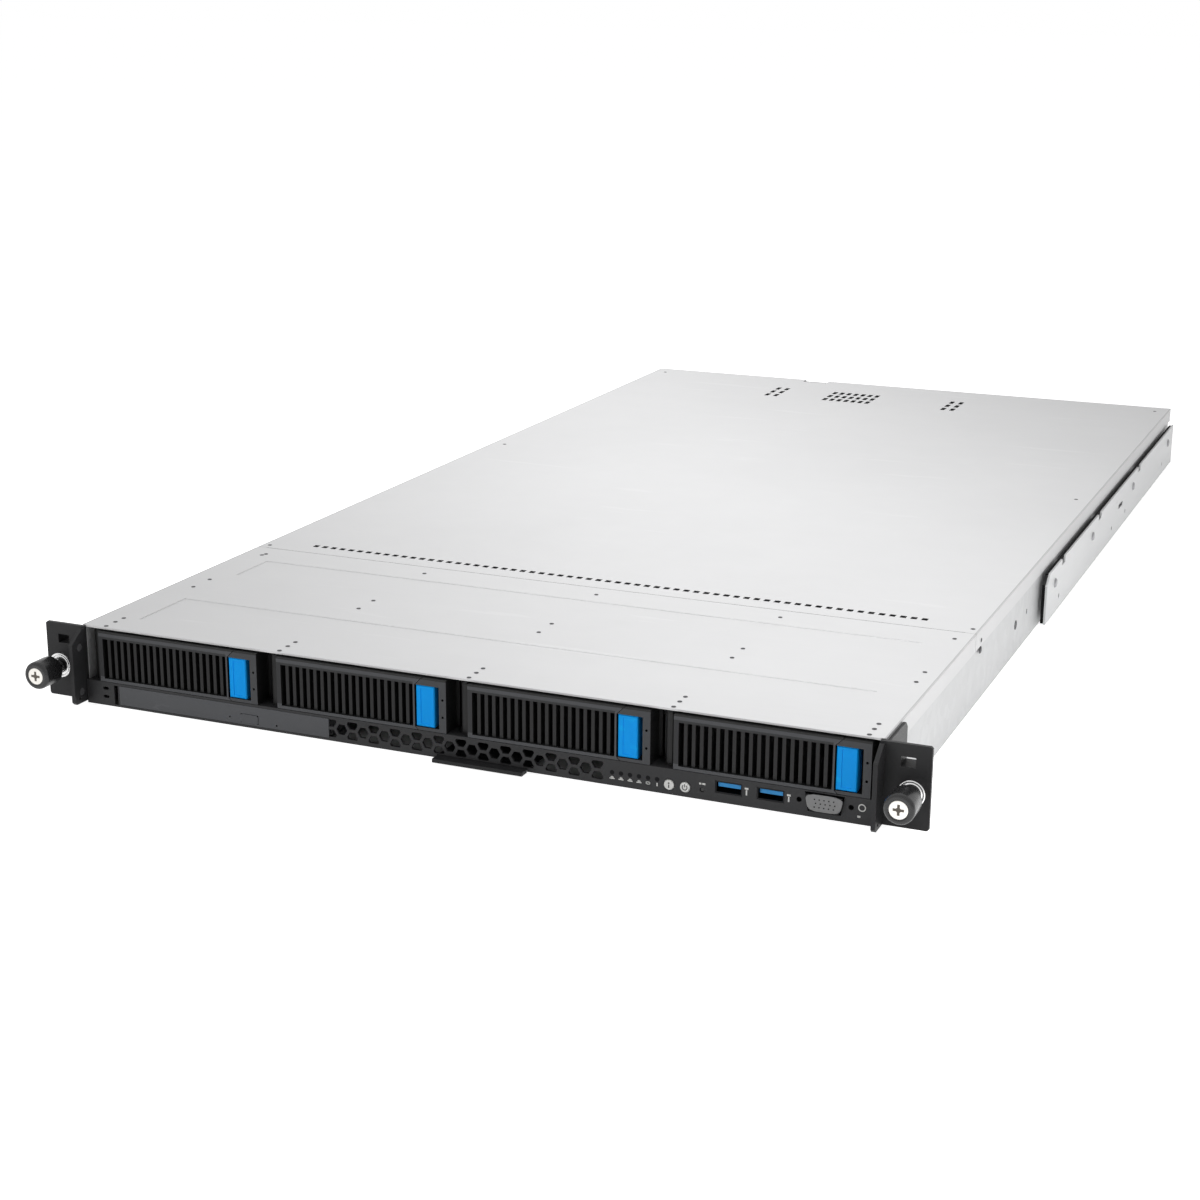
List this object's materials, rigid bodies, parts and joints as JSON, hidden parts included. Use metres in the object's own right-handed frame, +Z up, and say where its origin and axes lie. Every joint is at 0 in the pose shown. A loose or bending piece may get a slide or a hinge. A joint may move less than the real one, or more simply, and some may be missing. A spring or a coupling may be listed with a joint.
{
  "type": "rack server",
  "caption": "Low rack-mount server: steel chassis with lever drive trays across the front, a slim optical drive, front ports, a two-piece cover, fans, a main board and hot-plug power supplies.",
  "frame": {"origin": "on the centre line, in the plane of the rear faces of the rack ears, on the underside of the chassis", "axes": "+X to the right as seen from the front, +Y towards the rear, +Z up"},
  "size_m": [0.4826, 0.8918, 0.0432],
  "materials": {
    "chassis_sheet": "satin zinc",
    "cage_sheet": "satin zinc",
    "cover_sheet": "satin",
    "rivet_steel": "dull",
    "panel_black": "fine texture",
    "ear_black": "fine texture",
    "screw_black": "satin",
    "collar_steel": "polished",
    "knob_black": "satin",
    "retainer_steel": "satin",
    "tray_black": "fine texture",
    "lever_grey": "fine texture",
    "latch_blue": "satin",
    "drive_alloy": "cast",
    "board_green": "solder mask",
    "optical_sheet": "satin",
    "optical_black": "fine texture",
    "button_white": "satin",
    "button_black": "satin",
    "lens_clear": "clear",
    "port_steel": "nickel",
    "usb_blue": "satin",
    "insert_grey": "satin",
    "tag_grey": "satin",
    "rail_steel": "satin zinc",
    "fan_black": "satin",
    "rotor_black": "satin",
    "module_green": "solder mask",
    "sink_alloy": "extruded",
    "supply_sheet": "satin zinc"
  },
  "bodies": {
    "chassis": {"chassis_base": "chassis_sheet", "drive_cage": "cage_sheet", "front_cover": "cover_sheet", "cover_rivets": "rivet_steel", "front_panel": "panel_black", "rear_panel": "chassis_sheet", "rack_ear_right": "ear_black", "rack_ear_left": "ear_black", "ear_screws": "screw_black", "screw_collars": "collar_steel", "drive_backplane": "board_green", "optical_drive_case": "optical_sheet", "lamp_lenses": "lens_clear", "control_board": "board_green", "port_shells": "port_steel", "usb_tongues": "usb_blue", "display_insert": "insert_grey", "side_rail_right": "rail_steel", "side_rail_left": "rail_steel", "fan_frames": "fan_black", "motherboard": "board_green", "memory_modules": "module_green", "heat_sinks": "sink_alloy", "riser_card": "cage_sheet", "rear_ports": "port_steel"},
    "rear_cover": {"rear_cover": "cover_sheet"},
    "optical_tray": {"optical_tray": "optical_black"},
    "eject_button": {"eject_button": "optical_black"},
    "locate_button": {"locate_button": "button_white"},
    "power_button": {"power_button": "button_white"},
    "reset_button": {"reset_button": "button_black"},
    "pull_out_tag": {"pull_out_tag": "tag_grey"},
    "power_supply_1": {"power_supply_1": "supply_sheet"},
    "power_supply_2": {"power_supply_2": "supply_sheet"},
    "drive_tray_1": {"drive_tray_1": "tray_black", "hard_drive_1": "drive_alloy"},
    "tray_lever_1": {"tray_lever_1": "lever_grey"},
    "tray_latch_1": {"tray_latch_1": "latch_blue"},
    "drive_tray_2": {"drive_tray_2": "tray_black", "hard_drive_2": "drive_alloy"},
    "tray_lever_2": {"tray_lever_2": "lever_grey"},
    "tray_latch_2": {"tray_latch_2": "latch_blue"},
    "drive_tray_3": {"drive_tray_3": "tray_black", "hard_drive_3": "drive_alloy"},
    "tray_lever_3": {"tray_lever_3": "lever_grey"},
    "tray_latch_3": {"tray_latch_3": "latch_blue"},
    "drive_tray_4": {"drive_tray_4": "tray_black", "hard_drive_4": "drive_alloy"},
    "tray_lever_4": {"tray_lever_4": "lever_grey"},
    "tray_latch_4": {"tray_latch_4": "latch_blue"},
    "screw_retainer_left": {"screw_retainer_left": "retainer_steel"},
    "rack_screw_left": {"rack_screw_left": "knob_black"},
    "screw_retainer_right": {"screw_retainer_right": "retainer_steel"},
    "rack_screw_right": {"rack_screw_right": "knob_black"},
    "fan_rotor_1": {"fan_rotor_1": "rotor_black"},
    "fan_rotor_2": {"fan_rotor_2": "rotor_black"},
    "fan_rotor_3": {"fan_rotor_3": "rotor_black"},
    "fan_rotor_4": {"fan_rotor_4": "rotor_black"},
    "fan_rotor_5": {"fan_rotor_5": "rotor_black"},
    "fan_rotor_6": {"fan_rotor_6": "rotor_black"}
  },
  "joints": [
    {"name": "rear_cover_slide", "type": "slide", "parent": "chassis", "child": "rear_cover", "axis": [0, 1, 0], "range_m": [0, 0.3]},
    {"name": "tray_1_slide", "type": "slide", "parent": "chassis", "child": "drive_tray_1", "axis": [0, -1, 0], "range_m": [0, 0.15]},
    {"name": "lever_1_hinge", "type": "hinge", "parent": "drive_tray_1", "child": "tray_lever_1", "pos_m": [-0.2107, 0.0032, 0.0275], "axis": [0, 0, -1], "range_deg": [0, 65]},
    {"name": "latch_1_slide", "type": "slide", "parent": "drive_tray_1", "child": "tray_latch_1", "axis": [1, 0, 0], "range_m": [0, 0.0022], "stiffness_N_per_m": 400, "springref_m": -0.002},
    {"name": "tray_2_slide", "type": "slide", "parent": "chassis", "child": "drive_tray_2", "axis": [0, -1, 0], "range_m": [0, 0.15]},
    {"name": "lever_2_hinge", "type": "hinge", "parent": "drive_tray_2", "child": "tray_lever_2", "pos_m": [-0.1025, 0.0032, 0.0275], "axis": [0, 0, -1], "range_deg": [0, 65]},
    {"name": "latch_2_slide", "type": "slide", "parent": "drive_tray_2", "child": "tray_latch_2", "axis": [1, 0, 0], "range_m": [0, 0.0022], "stiffness_N_per_m": 400, "springref_m": -0.002},
    {"name": "tray_3_slide", "type": "slide", "parent": "chassis", "child": "drive_tray_3", "axis": [0, -1, 0], "range_m": [0, 0.15]},
    {"name": "lever_3_hinge", "type": "hinge", "parent": "drive_tray_3", "child": "tray_lever_3", "pos_m": [0.0057, 0.0032, 0.0275], "axis": [0, 0, -1], "range_deg": [0, 65]},
    {"name": "latch_3_slide", "type": "slide", "parent": "drive_tray_3", "child": "tray_latch_3", "axis": [1, 0, 0], "range_m": [0, 0.0022], "stiffness_N_per_m": 400, "springref_m": -0.002},
    {"name": "tray_4_slide", "type": "slide", "parent": "chassis", "child": "drive_tray_4", "axis": [0, -1, 0], "range_m": [0, 0.15]},
    {"name": "lever_4_hinge", "type": "hinge", "parent": "drive_tray_4", "child": "tray_lever_4", "pos_m": [0.1139, 0.0032, 0.0275], "axis": [0, 0, -1], "range_deg": [0, 65]},
    {"name": "latch_4_slide", "type": "slide", "parent": "drive_tray_4", "child": "tray_latch_4", "axis": [1, 0, 0], "range_m": [0, 0.0022], "stiffness_N_per_m": 400, "springref_m": -0.002},
    {"name": "optical_tray_slide", "type": "slide", "parent": "chassis", "child": "optical_tray", "axis": [0, -1, 0], "range_m": [0, 0.118]},
    {"name": "eject_button_press", "type": "slide", "parent": "optical_tray", "child": "eject_button", "axis": [0, 1, 0], "range_m": [0, 0.0008], "stiffness_N_per_m": 500, "springref_m": -0.001},
    {"name": "locate_button_press", "type": "slide", "parent": "chassis", "child": "locate_button", "axis": [0, 1, 0], "range_m": [0, 0.0008], "stiffness_N_per_m": 500, "springref_m": -0.001},
    {"name": "power_button_press", "type": "slide", "parent": "chassis", "child": "power_button", "axis": [0, 1, 0], "range_m": [0, 0.0008], "stiffness_N_per_m": 500, "springref_m": -0.001},
    {"name": "reset_button_press", "type": "slide", "parent": "chassis", "child": "reset_button", "axis": [0, 1, 0], "range_m": [0, 0.0006], "stiffness_N_per_m": 400, "springref_m": -0.001},
    {"name": "tag_slide", "type": "slide", "parent": "chassis", "child": "pull_out_tag", "axis": [0, -1, 0], "range_m": [0, 0.05]},
    {"name": "rack_screw_left_advance", "type": "slide", "parent": "chassis", "child": "screw_retainer_left", "axis": [0, 1, 0], "range_m": [0, 0.005], "stiffness_N_per_m": 300, "springref_m": -0.003},
    {"name": "rack_screw_left_turn", "type": "hinge", "parent": "screw_retainer_left", "child": "rack_screw_left", "pos_m": [-0.23256, 0, 0.0195], "axis": [0, 1, 0], "continuous": true},
    {"name": "rack_screw_right_advance", "type": "slide", "parent": "chassis", "child": "screw_retainer_right", "axis": [0, 1, 0], "range_m": [0, 0.005], "stiffness_N_per_m": 300, "springref_m": -0.003},
    {"name": "rack_screw_right_turn", "type": "hinge", "parent": "screw_retainer_right", "child": "rack_screw_right", "pos_m": [0.23256, 0, 0.0195], "axis": [0, 1, 0], "continuous": true},
    {"name": "fan_1_spin", "type": "hinge", "parent": "chassis", "child": "fan_rotor_1", "pos_m": [-0.175, 0.236, 0.0218], "axis": [0, 1, 0], "continuous": true},
    {"name": "fan_2_spin", "type": "hinge", "parent": "chassis", "child": "fan_rotor_2", "pos_m": [-0.105, 0.236, 0.0218], "axis": [0, 1, 0], "continuous": true},
    {"name": "fan_3_spin", "type": "hinge", "parent": "chassis", "child": "fan_rotor_3", "pos_m": [-0.035, 0.236, 0.0218], "axis": [0, 1, 0], "continuous": true},
    {"name": "fan_4_spin", "type": "hinge", "parent": "chassis", "child": "fan_rotor_4", "pos_m": [0.035, 0.236, 0.0218], "axis": [0, 1, 0], "continuous": true},
    {"name": "fan_5_spin", "type": "hinge", "parent": "chassis", "child": "fan_rotor_5", "pos_m": [0.105, 0.236, 0.0218], "axis": [0, 1, 0], "continuous": true},
    {"name": "fan_6_spin", "type": "hinge", "parent": "chassis", "child": "fan_rotor_6", "pos_m": [0.175, 0.236, 0.0218], "axis": [0, 1, 0], "continuous": true},
    {"name": "power_supply_1_slide", "type": "slide", "parent": "chassis", "child": "power_supply_1", "axis": [0, 1, 0], "range_m": [0, 0.18]},
    {"name": "power_supply_2_slide", "type": "slide", "parent": "chassis", "child": "power_supply_2", "axis": [0, 1, 0], "range_m": [0, 0.18]}
  ]
}
